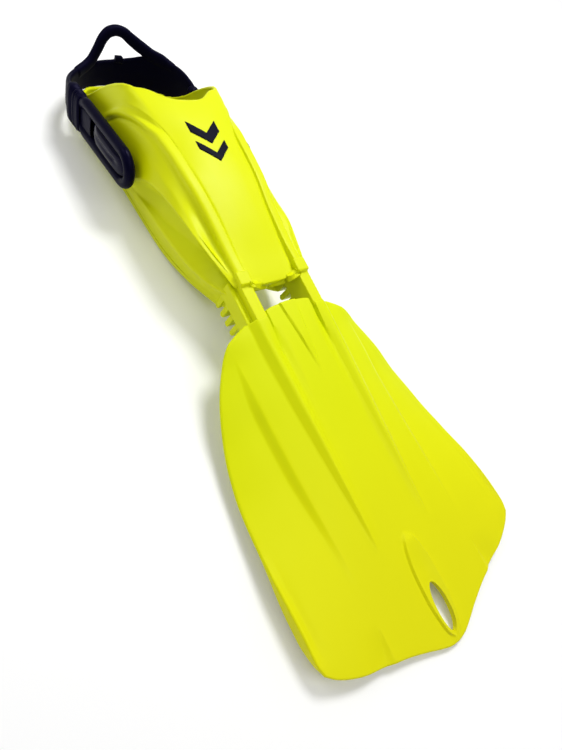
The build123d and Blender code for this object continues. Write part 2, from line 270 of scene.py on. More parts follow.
def spread(fractions, knots, values):
    """Piecewise straight reading of per-point values at knots, for a grid's columns."""
    result = np.zeros(np.broadcast(fractions, values[0]).shape)
    for low, high, start, end in zip(knots[:-1], knots[1:], values[:-1], values[1:]):
        t = np.clip((fractions - low) / (high - low), 0, 1)
        inside = (fractions >= low) & (fractions <= high)
        result = np.where(inside, start + (end - start) * t, result)
    return result


# --- modelling helpers

def alone(piece=None):
    """Leaves edit mode and selects only one object, or none."""
    if bpy.context.object and bpy.context.object.mode != "OBJECT":
        bpy.ops.object.mode_set(mode="OBJECT")
    bpy.ops.object.select_all(action="DESELECT")
    if piece:
        piece.select_set(True)
        bpy.context.view_layer.objects.active = piece


def grid_sheet(name, columns, rows):
    """A flat sheet of cells, and the place of each of its points from 0 to 1 both ways."""
    alone()
    bpy.ops.mesh.primitive_grid_add(x_subdivisions=columns, y_subdivisions=rows, size=1)
    piece = bpy.context.object
    piece.name = piece.data.name = name
    flat = points_of(piece)
    return piece, flat[:, 0] + 0.5, flat[:, 1] + 0.5


def points_of(piece):
    """All points of a mesh as an array."""
    spots = np.zeros(len(piece.data.vertices) * 3)
    piece.data.vertices.foreach_get("co", spots)
    return spots.reshape(-1, 3)


def place_points(piece, spots):
    """Moves all points of a mesh; the places are in millimetres."""
    piece.data.vertices.foreach_set("co", (np.asarray(spots) * MM).ravel())
    piece.data.update()


def apply_modifier(piece, kind, **settings):
    """Adds a modifier with its settings and applies it."""
    alone(piece)
    modifier = piece.modifiers.new(kind.title(), kind)
    for key, value in settings.items():
        setattr(modifier, key, value)
    bpy.ops.object.modifier_apply(modifier=modifier.name)


def second_skin(piece, count):
    """Gives a sheet a second face and a rim; the new face's points follow the first's."""
    apply_modifier(piece, "SOLIDIFY", thickness=0.01, offset=-1, use_rim=True,
                   use_even_offset=False)
    if len(piece.data.vertices) != 2 * count:
        raise RuntimeError(f"{piece.name} has {len(piece.data.vertices)} points, not {2 * count}")


def tidy_mesh(piece, merge=0.00002, angle=40):
    """Merges doubled points, turns faces outward and smooths what isn't an edge."""
    alone(piece)
    bpy.ops.object.mode_set(mode="EDIT")
    bpy.ops.mesh.select_all(action="SELECT")
    bpy.ops.mesh.remove_doubles(threshold=merge)
    bpy.ops.mesh.normals_make_consistent(inside=False)
    bpy.ops.object.mode_set(mode="OBJECT")
    bpy.ops.object.shade_smooth_by_angle(angle=math.radians(angle))


def dress(piece, material, body=None, stands_for=()):
    """Gives a piece its material and its body, and hides the nodes it stands for."""
    piece.data.materials.clear()
    piece.data.materials.append(material)
    if body:
        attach(piece, body)
    if stands_for:
        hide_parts(*stands_for)


def joined(name, parts):
    """Joins several meshes into one object."""
    alone(parts[0])
    for part in parts:
        part.select_set(True)
    bpy.ops.object.join()
    piece = bpy.context.object
    piece.name = piece.data.name = name
    return piece


def tube(name, path, across, half_wide, half_deep, around=24, closed=False, square=1.0):
    """A tube along a path; across is the direction its width lies in, square flattens its sides."""
    path = np.array(path, float)
    across = np.broadcast_to(np.array(across, float), path.shape)
    count = len(path)
    turns = count if closed else count - 1
    piece, u, v = grid_sheet(name, around, turns)
    place = np.rint(v * turns).astype(int) % count
    ahead, behind = np.roll(path, -1, 0), np.roll(path, 1, 0)
    if not closed:
        ahead[-1], behind[0] = path[-1], path[0]
    along = ahead - behind
    along /= np.linalg.norm(along, axis=1)[:, None]
    across = across - along * np.sum(across * along, 1)[:, None]
    across /= np.linalg.norm(across, axis=1)[:, None]
    deep = np.cross(along, across)
    turn = u * 2 * math.pi
    cos = np.sign(np.cos(turn)) * np.abs(np.cos(turn)) ** square
    sin = np.sign(np.sin(turn)) * np.abs(np.sin(turn)) ** square
    wide = np.broadcast_to(np.asarray(half_wide, float), count)[place]
    thick = np.broadcast_to(np.asarray(half_deep, float), count)[place]
    place_points(piece, path[place] + across[place] * (cos * wide)[:, None]
                 + deep[place] * (sin * thick)[:, None])
    alone(piece)
    bpy.ops.object.mode_set(mode="EDIT")
    bpy.ops.mesh.select_all(action="SELECT")
    bpy.ops.mesh.remove_doubles(threshold=0.000005)
    if not closed:
        bpy.ops.mesh.select_all(action="DESELECT")
        bpy.ops.mesh.select_mode(type="EDGE")
        bpy.ops.mesh.select_non_manifold()
        bpy.ops.mesh.fill()
    bpy.ops.mesh.select_all(action="SELECT")
    bpy.ops.mesh.normals_make_consistent(inside=False)
    bpy.ops.object.mode_set(mode="OBJECT")
    return piece


def block(name, low, high):
    """A box between two corners, in millimetres."""
    alone()
    low, high = np.array(low, float), np.array(high, float)
    bpy.ops.mesh.primitive_cube_add(size=1)
    piece = bpy.context.object
    piece.name = name
    place_points(piece, (low + high) / 2 + points_of(piece) * (high - low))
    return piece


def fused(piece, voxel, rounds, factor=0.5):
    """Turns joined shapes into one skin and softens its edges as moulding does."""
    apply_modifier(piece, "REMESH", mode="VOXEL", voxel_size=voxel * MM, adaptivity=0)
    apply_modifier(piece, "SMOOTH", factor=factor, iterations=rounds)
    alone(piece)
    bpy.ops.object.shade_smooth()


# --- finishes

def node(tree, kind, **settings):
    """Adds a shader node and sets its fields and its sockets' values."""
    made = tree.nodes.new("ShaderNode" + kind)
    for key, value in settings.items():
        if key in made.inputs:
            made.inputs[key].default_value = value
        else:
            setattr(made, key, value)
    return made


def moulded(name, colour, second, rough, grain, grain_size, patches, specular,
            spread_rough=0.06, tint=(1, 1, 1), painted_light_tone=None):
    """Moulded rubber or plastic: soft colour drift, a fine grain and uneven shine.

    The last argument, where given, is a painted light tone: the colour is multiplied by a tone
    running from greener at the fin's root to more golden towards its tip, for how the light falls
    along the fin.
    """
    material = bpy.data.materials.new(name)
    material.use_nodes = True
    material.diffuse_color = (*colour, 1)
    tree = material.node_tree
    surface = tree.nodes["Principled BSDF"]
    surface.inputs["Specular IOR Level"].default_value = specular
    surface.inputs["Specular Tint"].default_value = (*tint, 1)
    place = node(tree, "TexCoord")
    drift = node(tree, "TexNoise", Scale=patches, Detail=3.0, Roughness=0.55)
    mix = node(tree, "Mix", data_type="RGBA")
    for socket in mix.inputs:
        if socket.type == "RGBA":
            socket.default_value = (*(colour if socket.name == "A" else second), 1)
    tree.links.new(place.outputs["Object"], drift.inputs["Vector"])
    tree.links.new(drift.outputs["Fac"], mix.inputs[0])
    coloured = [o for o in mix.outputs if o.type == "RGBA"][0]
    # Painted light: the colour is multiplied by a tone from greener at the root (x 0.16 m) to more
    # golden at the tip (x 0.44 m), for how the light falls along the fin.
    if painted_light_tone:
        split = node(tree, "SeparateXYZ")
        reach = node(tree, "MapRange", interpolation_type="SMOOTHSTEP")
        reach.inputs["From Min"].default_value = 0.16
        reach.inputs["From Max"].default_value = 0.44
        toned = node(tree, "Mix", data_type="RGBA", blend_type="MULTIPLY")
        shade = node(tree, "Mix", data_type="RGBA")
        sockets = [socket for socket in shade.inputs if socket.type == "RGBA"]
        sockets[0].default_value, sockets[1].default_value = (0.93, 1.0, 1.0, 1), (*painted_light_tone, 1)
        toned.inputs[0].default_value = 1.0
        colours = [socket for socket in toned.inputs if socket.type == "RGBA"]
        tree.links.new(place.outputs["Object"], split.inputs["Vector"])
        tree.links.new(split.outputs["X"], reach.inputs["Value"])
        tree.links.new(reach.outputs["Result"], shade.inputs[0])
        tree.links.new(coloured, colours[0])
        tree.links.new([o for o in shade.outputs if o.type == "RGBA"][0], colours[1])
        coloured = [o for o in toned.outputs if o.type == "RGBA"][0]
    tree.links.new(coloured, surface.inputs["Base Color"])
    speck = node(tree, "TexNoise", Scale=grain_size, Detail=2.0, Roughness=0.6)
    wave = node(tree, "TexNoise", Scale=60.0, Detail=2.0, Roughness=0.5)
    shine = node(tree, "MapRange")
    shine.inputs["To Min"].default_value = rough - spread_rough
    shine.inputs["To Max"].default_value = rough + spread_rough
    bump = node(tree, "Bump", Strength=grain, Distance=0.0003)
    swell = node(tree, "Bump", Strength=0.05, Distance=0.002)
    for texture in (speck, wave):
        tree.links.new(place.outputs["Object"], texture.inputs["Vector"])
    tree.links.new(wave.outputs["Fac"], shine.inputs["Value"])
    tree.links.new(shine.outputs["Result"], surface.inputs["Roughness"])
    tree.links.new(wave.outputs["Fac"], swell.inputs["Height"])
    tree.links.new(speck.outputs["Fac"], bump.inputs["Height"])
    tree.links.new(swell.outputs["Normal"], bump.inputs["Normal"])
    tree.links.new(bump.outputs["Normal"], surface.inputs["Normal"])
    return material


def finish(name):
    """The material of that name, made when it is first asked for."""
    known = bpy.data.materials.get(name)
    if known:
        return known
    sizes = bpy.context.scene.swim_fin
    lime, tip = tuple(sizes.pocket_colour), tuple(sizes.blade_colour)
    dark, strap = tuple(sizes.cord_colour), tuple(sizes.strap_colour)
    violet = (0.5, 0.45, 1.0)
    # Colour, its second tone, roughness, grain, grain size, patch size, specular level, spread of
    # the roughness, specular tint and painted light tone along the fin.
    recipes = {
        "satin_lime_pocket": (lime, 0.93, 0.42, 0.10, 1100.0, 12.0, 0.14, 0.06),
        # The blade's last entry is a painted light tone: greener at the root, more golden at the
        # tip.
        "satin_lime_blade": (tip, 0.94, 0.46, 0.14, 1000.0, 9.0, 0.12, 0.06, (1, 1, 1),
                             (1.0, 0.93, 1.0)),
        "navy_strap_rubber": (strap, 1.6, 0.5, 0.2, 900.0, 30.0, 0.045, 0.06, violet),
        "ribbed_cuff_rubber": (strap, 1.8, 0.42, 0.2, 900.0, 40.0, 0.055, 0.06, violet),
        "bungee_sheath": (dark, 1.5, 0.34, 0.1, 1200.0, 50.0, 0.055, 0.05, violet),
        "gloss_button": (dark, 1.4, 0.12, 0.02, 1500.0, 40.0, 0.09, 0.02, violet),
        # Painted shade: the footbed is coloured near black to stand in for the shade inside the
        # foot pocket.
        "footbed_rubber": ((0.010, 0.010, 0.016), 1.8, 0.68, 0.5, 500.0, 30.0, 0.1),
        "instep_navy": ((0.003, 0.003, 0.010), 1.6, 0.5, 0.1, 900.0, 40.0, 0.04),
        "retainer_plastic": (dark, 1.8, 0.35, 0.1, 900.0, 60.0, 0.2),
    }
    colour, shift, *others = recipes[name]
    return moulded(name, colour, tuple(c * shift for c in colour), *others)


# --- pieces

def line_places(counts):
    """Places of a grid's lines, in steps between knots."""
    places = [0.0]
    for i, count in enumerate(counts):
        places += [i + k / count for k in range(1, count + 1)]
    return np.array(places)


def make_blade(settings):
    """The blade: one thin skin with rails, creases, keels, side walls, a boss and its hole."""
    counts = (7, 2, 8, 3, 5, 6, 11, 8, 22, 7)
    close = (0.25, 0.5, 0.72, 0.88, 0.97, 1.0)
    half_lines = np.concatenate([line_places(counts), len(counts) + np.array(close)])
    lines = np.concatenate([-half_lines[:0:-1], half_lines])
    rows = np.concatenate([[0, 0.06, 0.25, 0.6, 1.1, 1.7], np.linspace(3, 284, 176),
                           [285.3, 285.9, 286.4, 286.75, 286.94, 287]]) / 287
    piece, u, v = grid_sheet("blade_skin", len(lines) - 1, len(rows) - 1)
    line = lines[np.rint(u * (len(lines) - 1)).astype(int)]
    row = rows[np.rint(v * (len(rows) - 1)).astype(int)]
    place, side = np.abs(line), np.sign(line)
    x = 8 + 223 * row
    for _ in range(30):
        half = smooth(np.maximum(x, 8), BLADE_HALF)
        inner, top, outer = smooth(x, RAIL_IN), smooth(x, RAIL_TOP), smooth(x, RAIL_OUT)
        wedge = np.maximum(np.clip(9 * (1 - (x + 8) / 70), 1.2, 9), smooth(x, BOSS_HALF))
        room = half - outer
        crest = np.minimum(smooth(x, STEP_LINE), outer + 0.5 * room)
        trough = np.minimum(crest + smooth(x, STEP_WIDE), outer + 0.72 * room)
        bead = np.maximum(half - 7, trough + 0.4 * (half - trough))
        knots = (0 * x, wedge, wedge + 1.5, inner, inner + np.minimum(1, 0.4 * (outer - inner)),
                 np.maximum(top, inner + 0.6 * (outer - inner)), outer, crest, trough,
                 bead, half - 1.5, half)
        y = spread(place, range(12), knots)
        start, stop = smooth(y, LEADING), smooth(y, TRAILING)
        x = 0.4 * x + 0.6 * (start + row * (stop - start))
    edge = np.minimum(half - y, np.minimum(np.abs(x - start), 0.9 * np.abs(stop - x)))
    edge = np.where(place > 11.999, 0, edge)
    roll = edge_roll(np.maximum(edge, 0), BLADE_EDGE)
    y = y * np.where(side == 0, 1, side)
    second_skin(piece, len(x))
    upper = blade_place(x, y, blade_top(x, y) - roll)
    lower = blade_place(x, y, np.minimum(blade_under(x, y) + roll,
                                         blade_top(x, y) - roll - 0.15))
    place_points(piece, np.concatenate([upper, lower]))
    alone()
    bpy.ops.mesh.primitive_cylinder_add(vertices=72, radius=1, depth=1)
    cutter = bpy.context.object
    cutter.name = "hole_cutter"
    spots = points_of(cutter)
    place_points(cutter, blade_place(HOLE_X + HOLE_HALF_LONG * spots[:, 0],
                                     settings.hole_width / MM / 2 * spots[:, 1],
                                     60 * spots[:, 2]))
    apply_modifier(piece, "BOOLEAN", operation="DIFFERENCE", solver="EXACT", object=cutter)
    bpy.data.objects.remove(cutter)
    tidy_mesh(piece, angle=45)
    dress(piece, finish("satin_lime_blade"), "blade", ["blade"])


def blade_block(name, low, high):
    """A box given in the blade's own frame."""
    piece = block(name, low, high)
    spots = points_of(piece) / MM
    place_points(piece, blade_place(spots[:, 0], spots[:, 1], spots[:, 2]))
    return piece


def make_arm(name, side):
    """One arm: bar, channel and flange on top, a row of rounded stops underneath."""
    def slab(label, x0, x1, y0, y1, z0, z1):
        ys = sorted((side * y0, side * y1))
        return blade_block(label, (x0, ys[0], z0), (x1, ys[1], z1))

    parts = [
        slab("bar", -38, 3, 24.1, 34.8, -16.8, 6.0),
        slab("web", -37, 3, 30, 38, -16.8, -1.6),
        slab("flange", -37, 3, 36.6, 40, -16.8, -1.0),
        slab("collar", -40, -28.2, 23.6, 35.2, 0, 9.0),
    ]
    for tooth in range(4):
        x = -6.5 - 8.8 * tooth
        parts.append(slab("stop", x - 2.5, x + 2.5, 25, 39, -30.6, -14))
        alone()
        bpy.ops.mesh.primitive_cylinder_add(vertices=24, radius=1, depth=1)
        tip = bpy.context.object
        spots = points_of(tip)
        place_points(tip, blade_place(x + 2.55 * spots[:, 0], side * (32 + 14 * spots[:, 2]),
                                      -30.4 + 2.55 * spots[:, 1]))
        parts.append(tip)
    piece = joined(name, parts)
    fused(piece, 0.6, 5)
    return piece


def section_points(x):
    """Half section of the foot pocket at x: knots from the top's middle to the foot plate."""
    roof, rail, high = smooth(x, POCKET, 1), smooth(x, POCKET, 2), smooth(x, POCKET, 3)
    side, side_z = smooth(x, POCKET, 4), smooth(x, POCKET, 5)
    ledge, ledge_z = smooth(x, POCKET, 6), smooth(x, POCKET, 7)
    foot, sole = smooth(x, POCKET, 8), sole_rise(x) + SOLE_THICK
    turn, turn_z = smooth(x, SHOULDER, 1), smooth(x, SHOULDER, 2)
    front, proud = fade(x, -50, 8), fade(x, -84, -58)
    scoop, shelf = fade(x, -16, 26), fade(x, 14, 104)
    toe = 1 - fade(x, 92, 132)
    low = side_z - ledge_z

    def mixed(rear, fore):
        return tuple(r + (f - r) * front for r, f in zip(rear, fore))

    knots = [(0 * x, roof)]
    for share in (0.25, 0.5, 0.75, 1.0):
        knots.append((turn * share, roof - (roof - turn_z) * share ** (3.4 - 1.0 * front)))
    knots += [
        mixed((rail - 0.8 * proud, high + 6 + 0.3 * (turn_z - high - 6)),
              (turn + 0.9, turn_z - 1.3)),
        mixed((rail - 1.0 * proud, high + 4.6), (turn + 1.8, turn_z + 0.5 * (high - turn_z))),
        mixed((rail + 0.9 * proud, high + 2.4), (rail - 4.2, high)),
        mixed((rail + 1.5 * proud, high - 0.6), (rail + 3.2, high - 0.3)),
        mixed((rail + 0.8 * proud, high - 3.2), (rail + 5.2, high - 2.6)),
        mixed((rail - 1.9 * proud, high - 5.6), (rail + 5.0, high - 3.2 - 3.6 * toe)),
        mixed((rail - 0.2 * proud, high - 7.8), (rail + 6.0 + 1.4 * toe, high - 4.0 - 4.4 * toe)),
    ]
    last = knots[-1]
    knots += [
        (last[0] + 0.5 * (side + 0.6 - last[0]) + 1.3 * front * toe,
         last[1] + 0.5 * (side_z + 1.5 - last[1]) + 1.0 * front * toe),
        (side + 0.6, side_z + 1.5),
        (side - 1.6 * scoop, side_z - 1.0),
        (side - 9.0 * scoop, side_z - 0.1 * low - 1.5),
        (side - 12.0 * scoop, side_z - 0.4 * low),
        (ledge - 5.0 * scoop - 5.5 * shelf,
         np.minimum(ledge_z + 3.5 + 11.5 * shelf, side_z - 0.55 * low)),
        (ledge - 2.0 * scoop - 6.5 * shelf,
         np.minimum(ledge_z + 2.0 + 10.0 * shelf, side_z - 0.62 * low)),
        (ledge - 0.3 * scoop, ledge_z + 1.2),
        (ledge, ledge_z - 0.6),
        (ledge - 0.6 * scoop - 2.6 * shelf, ledge_z - 0.3 * (ledge_z - sole) - 1),
        (foot, sole + 0.3 * (ledge_z - sole)),
        (foot, sole),
    ]
    return knots


def section_at(x, place):
    """Point of the pocket's outer face at x; place counts knots from the top's middle."""
    knots = section_points(x)
    numbers = range(len(knots))
    y = spread(place, numbers, [k[0] + 0 * x for k in knots])
    z = spread(place, numbers, [k[1] + 0 * x for k in knots])
    return y * smooth(x, HEEL), z


def roof_height(x, y):
    """Height of the instep at a point between the rails."""
    knots = section_points(x)
    share = np.abs(y) / knots[4][0]
    return knots[0][1] - (knots[0][1] - knots[4][1]) * share ** (3.4 - fade(x, -50, 8))


def make_pocket(settings):
    """The foot pocket: one wall from the lip to the toe, with arched rails, scoops and ledges."""
    counts = (4, 4, 4, 5, 3, 2, 4, 5, 4, 3, 3, 6, 7, 3, 4, 5, 5, 3, 6, 3, 4, 4, 3)
    half_lines = line_places(counts)
    lines = np.concatenate([-half_lines[:0:-1], half_lines])
    steps, cap = 200, 16
    piece, u, v = grid_sheet("pocket_shell", len(lines) - 1, steps + cap)
    column = np.rint(u * (len(lines) - 1)).astype(int)
    row = np.rint(v * (steps + cap)).astype(int)
    xs = np.linspace(HEEL_X, -24, 1341)
    lip = smooth(xs, LIP)
    starts = []
    for place in np.abs(lines):
        height = section_at(xs, np.full(len(xs), place))[1]
        above = np.nonzero(height >= lip)[0]
        starts.append(xs[above[-1]] if len(above) else HEEL_X)
    starts = np.convolve(np.pad(starts, 3, mode="edge"),
                         [0.05, 0.1, 0.2, 0.3, 0.2, 0.1, 0.05], mode="valid")
    starts[0] = starts[-1] = HEEL_X
    share = np.clip(np.arange(steps + cap + 1) / steps, 0, 1)
    share = 0.75 * share ** 1.35 + 0.25 * np.sin(share * math.pi / 2)
    x = starts[None, :] + (TOE_X - starts[None, :]) * share[:, None]
    place = np.broadcast_to(np.abs(lines), x.shape)
    y, z = section_at(x, place)
    y = y * np.sign(lines)
    for values in (y, z, y, z):
        values[:, 1:-1] = 0.5 * values[:, 1:-1] + 0.25 * (values[:, :-2] + values[:, 2:])
    wide = np.abs(y[steps]).max()
    middle = 0.5 * (z[steps].max() + z[steps].min())
    for k in range(1, cap + 1):
        lean = min(k / 5, 1) * math.pi / 2
        keep = (1 - TOE_ROUNDING * (1 - math.cos(lean)) / 22) * (1 - max(k - 5, 0) / (cap - 5))
        y[steps + k] = y[steps] * keep
        z[steps + k] = middle + (z[steps] - middle) * keep
        x[steps + k] = TOE_X - 0.8 + TOE_ROUNDING * math.sin(lean)
    crown = 1 - np.clip(np.abs(y) / wide, 0, 1) ** 2
    x += 3.4 * crown * fade(x, 112, 134)
    under = np.clip(section_at(TOE_X, 0)[1] - z, 0, 40)
    x -= TOE_LEAN * under * fade(x, 92, 134) * (1 - fade(np.abs(y), 20, 34))
    spots = np.stack([x, y, z], -1)[row, column]
    place_points(piece, spots)
    alone(piece)
    bpy.ops.object.mode_set(mode="EDIT")
    bpy.ops.mesh.select_all(action="SELECT")
    bpy.ops.mesh.remove_doubles(threshold=0.00003)
    bpy.ops.mesh.normals_make_consistent(inside=False)
    bpy.ops.object.mode_set(mode="OBJECT")
    count = len(piece.data.vertices)
    shell = points_of(piece)
    rim = np.stack([x[0], y[0], z[0]], -1) * MM
    nearest = [int(np.argmin(np.sum((shell - spot) ** 2, 1))) for spot in rim]
    apply_modifier(piece, "SOLIDIFY", thickness=settings.pocket_wall, offset=-1,
                   use_even_offset=False)
    shell = points_of(piece) / MM
    path = 0.5 * (shell[nearest] + shell[np.array(nearest) + count])
    keep = np.concatenate([[True], np.linalg.norm(np.diff(path, axis=0), axis=1) > 0.05])
    path = path[keep]
    bead = tube("lip_bead", path, (0.3, 0, 1), settings.pocket_wall / MM * 0.54,
                settings.pocket_wall / MM * 0.54, 20, closed=True)
    piece = joined("pocket_shell", [piece, bead, make_toe_front()])
    alone(piece)
    bpy.ops.object.shade_smooth_by_angle(angle=math.radians(50))
    dress(piece, finish("satin_lime_pocket"), "pocket", ["foot_pocket"])


def make_toe_front():
    """The toe's front wall between the arms: bowed, leaning back, with rounded lugs below."""
    piece, u, v = grid_sheet("toe_front", 60, 30)
    y = 48.4 * (u - 0.5)
    share = 2 * u - 1
    top = 53.0 + 0.9 * share ** 2
    low = 35.5 + 2.5 * share ** 2
    lug = np.clip(np.cos(y * 2 * math.pi / 9.5), 0, 1) ** 0.6 * (np.abs(y) < 17)
    z = top - 0.4 + (low - top) * v - 2.6 * lug * fade(v, 0.8, 1)
    x = TOE_X + 1.9 + 3.4 * (1 - (y / 36) ** 2) - TOE_LEAN * (top - z) * (1 - 0.4 * share ** 2)
    x = x - edge_roll((top - z), 2.0) * 0.8
    second_skin(piece, len(x))
    place_points(piece, np.concatenate([np.stack([x, y, z], -1), np.stack([x - 3.2, y, z], -1)]))
    tidy_mesh(piece, angle=40)
    return piece


def make_plate():
    """The foot plate: rounded at the heel, hollowed at the toe, with a tread underneath."""
    piece, u, v = grid_sheet("foot_plate_tread", 48, 240)
    share = 2 * u - 1
    front = 117.5 + 11 * fade(np.abs(share), 0.35, 0.85)
    x = PLATE_REAR + (front - PLATE_REAR) * v
    half = smooth(x, PLATE_HALF)
    y = share * half
    edge = np.minimum(half * (1 - np.abs(share)), np.minimum(x - PLATE_REAR, front - x))
    roll = edge_roll(edge, 2.4)
    ribs = np.clip(3 * np.cos(x * 2 * math.pi / 13) - 1.6, 0, 1)
    tread = 1.2 * ribs * fade(edge, 7, 9) * (1 - fade(x, 78, 92)) * (np.abs(x + 10) > 26)
    second_skin(piece, len(x))
    top = sole_rise(x) + SOLE_THICK - 0.4 * roll
    low = sole_rise(x) + 0.05 + np.minimum(roll, 2.4) + tread
    place_points(piece, np.concatenate([np.stack([x, y, top], -1),
                                        np.stack([x, y, np.minimum(low, top - 0.3)], -1)]))
    tidy_mesh(piece, angle=45)
    dress(piece, finish("satin_lime_pocket"), "pocket", ["foot_plate"])


def make_mark():
    """A plain double chevron on the instep, following its curve."""
    parts = []
    for number, (first, width) in enumerate(((-8, 11), (12, 8))):
        piece, u, v = grid_sheet(f"chevron_{number}", 48, 14)
        y = 28 * (u - 0.5)
        x = first + width * v + 13 * (1 - np.abs(2 * u - 1))
        second_skin(piece, len(x))
        top = roof_height(x, y)
        rounding = edge_roll(np.minimum(np.minimum(v, 1 - v) * width,
                                        np.minimum(u, 1 - u) * 28), 0.5)
        place_points(piece, np.concatenate([np.stack([x, y, top + 0.75 - rounding], -1),
                                            np.stack([x, y, top - 0.8], -1)]))
        tidy_mesh(piece)
        parts.append(piece)
    piece = joined("instep_chevrons", parts)
    dress(piece, finish("instep_navy"), "pocket", ["instep_mark"])


def loop_place(along, y, up):
    """A point given along and across a bungee loop's tilted line, from its post."""
    cos, sin = math.cos(LOOP_TILT), math.sin(LOOP_TILT)
    return np.stack([POST_X + along * cos - up * sin, y + 0 * along,
                     POST_Z + along * sin + up * cos], -1)


def make_loop(side, word):
    """One bungee loop: a smooth dark cord from the cuff round the button."""
    turn = np.radians(np.linspace(-90, 90, 25))
    front, rear = LOOP_FRONT - CORD_R - LOOP_HALF, LOOP_REAR + CORD_R + LOOP_HALF
    run = np.linspace(rear, front, 34)[1:-1]
    reach = LOOP_HALF * np.cos(turn)
    along = np.concatenate([front + reach, run[::-1], rear - reach, run])
    up = np.concatenate([LOOP_HALF * np.sin(turn), 0 * run + LOOP_HALF,
                         LOOP_HALF * np.sin(turn[::-1]), 0 * run - LOOP_HALF])
    path = loop_place(along, side * LOOP_Y, up)
    piece = tube(f"{word}_bungee_cord", path, (0, 1, 0), CORD_DRAWN_R, CORD_DRAWN_R, 28,
                 closed=True)
    tidy_mesh(piece, merge=0.000005)
    dress(piece, finish("bungee_sheath"), None, [f"{word}_bungee"])
    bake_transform(piece)


def button_outline(share, reach):
    """Oval outline of a button; share runs once round it and reach draws it in."""
    cos, sin = np.cos(share * 2 * math.pi), np.sin(share * 2 * math.pi)
    straight = np.sign(cos) * BUTTON_STRAIGHT * np.clip(np.abs(cos) * 2.2, 0, 1)
    return ((straight + BUTTON_R * cos) * reach,
            BUTTON_R * np.sign(sin) * np.abs(sin) ** 0.9 * reach)


def make_button(side, word):
    """The domed button that fills a loop, with a shallow groove along its face."""
    piece, u, v = grid_sheet(f"{word}_button_dome", 72, 40)
    reach = np.sin(v * math.pi / 2)
    along, up = button_outline(u, reach)
    dome = np.sqrt(np.clip(1 - reach ** 2.2, 0, 1))
    height = 60.0 + 6.3 * dome - 1.3 * np.exp(-((up - 1.0) / 2.0) ** 2) * (
        1 - fade(np.abs(along), 13, 24))
    rim, ru, rv = grid_sheet(f"{word}_button_rim", 72, 10)
    rim_along, rim_up = button_outline(ru, 1)
    shrink = np.where(rv > 0.55, 0.86 * (1 - (rv - 0.55) / 0.45), 1 - 0.14 * rv / 0.55)
    rim_y = np.where(rv > 0.55, 53, 60 - 7 * rv / 0.55)
    place_points(piece, loop_place(along, side * height, up))
    place_points(rim, loop_place(rim_along * shrink, side * rim_y, rim_up * shrink))
    stem = tube(f"{word}_button_stem",
                loop_place(np.zeros(12), side * np.linspace(53.5, 39.2, 12), np.zeros(12)),
                (0, 0, 1), 4.95, 4.95, 28)
    piece = joined(f"{word}_button_cap", [piece, rim, stem])
    tidy_mesh(piece, merge=0.00002, angle=35)
    dress(piece, finish("gloss_button"), "loops", [f"{word}_button"])


def make_cuff(side, word):
    """The ribbed sleeve that joins a bungee loop to the heel strap."""
    along = np.array([0, 0.25, 0.8, 1.6, 2.6, 3.6, 4.8, 6.0, 6.8, 7.6, 8.6, 9.4, 10.2, 11.2, 12.0,
                      12.8, 13.8, 14.6, 15.4, 16.4, 17.4, 18.2, 19.2, 20.6, 22, 23.0, 23.6,
                      CUFF_LONG])
    rib = 0.7 * (np.cos((along - 6.4) * 2 * math.pi / 3.9) - 1) * (along > 6) * (along < 18.2)
    ends = edge_roll(along, 2.4) + edge_roll(CUFF_LONG - along, 2.4)
    collar = -1.0 * fade(along, 18.6, 19.6)
    path = loop_place(CUFF_START + along, side * (LOOP_Y + 0.4) + 0 * along, 0 * along)
    sleeve = tube(f"{word}_cuff_sleeve", path, (0, 0, 1), 17.8 - ends + rib + collar,
                  6.6 - 0.8 * ends + 0.8 * rib + 0.5 * collar, 64, square=0.62)
    along = np.linspace(-60, -33.2, 28)
    path = loop_place(along, side * LOOP_Y + 0 * along, 0 * along)
    wide = 9.6 - 1.4 * fade(along, -36, -33) - edge_roll(-32.4 - along, 2.5)
    tongue = tube(f"{word}_cuff_tongue", path, (0, 0, 1), wide, 3.2, 40, square=0.5)
    tidy_mesh(tongue, merge=0.000005, angle=50)
    piece = joined(f"{word}_cuff_sleeve", [sleeve, tongue])
    tidy_mesh(piece, merge=0.000005, angle=50)
    dress(piece, finish("ribbed_cuff_rubber"), "strap", [f"{word}_cuff"])


